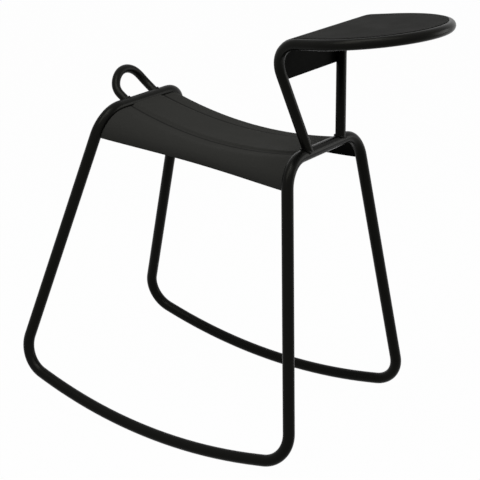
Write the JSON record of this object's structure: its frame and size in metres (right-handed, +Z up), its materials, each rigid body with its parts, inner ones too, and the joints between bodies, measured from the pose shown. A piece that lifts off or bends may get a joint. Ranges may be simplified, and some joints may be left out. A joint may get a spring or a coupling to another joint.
{
  "type": "rocking chair",
  "caption": "Rocking chair of bent black steel tube, with a saddle-shaped sheet seat between two arches, curved runners, a carrying loop behind and a small round tray on a neck in front.",
  "frame": {"origin": "on the floor, at the middle of the chair's length and width, with the runners' contact line 4.4 mm behind it", "axes": "+X forward towards the tray, +Y to the sitter's left when facing the tray, +Z up"},
  "size_m": [0.9108, 0.5256, 0.9269],
  "materials": {
    "frame_tube": "satin black powder coat on bent steel tube",
    "seat_sheet": "satin black powder coat on pressed steel sheet",
    "tail_tube": "satin black powder coat on thin bent steel tube",
    "neck_tube": "satin black powder coat on bent steel tube",
    "tray_sheet": "satin black powder coat on rolled steel sheet",
    "joint_sleeve": "bare drawn steel tube, hidden inside the leg joints",
    "weld_bead": "satin black powder coat over small weld beads"
  },
  "bodies": {
    "root": {"front_arch": "frame_tube", "rear_arch": "frame_tube", "left_runner": "frame_tube", "right_runner": "frame_tube", "front_left_joint_sleeve": "joint_sleeve", "front_right_joint_sleeve": "joint_sleeve", "rear_left_joint_sleeve": "joint_sleeve", "rear_right_joint_sleeve": "joint_sleeve", "seat_sheet": "seat_sheet", "tail_loop": "tail_tube", "neck_and_rim_tube": "neck_tube", "tray_sheet": "tray_sheet", "neck_root_welds": "weld_bead", "tail_root_welds": "weld_bead", "front_seat_welds": "weld_bead", "rear_seat_welds": "weld_bead", "tray_welds": "weld_bead"}
  },
  "joints": []
}
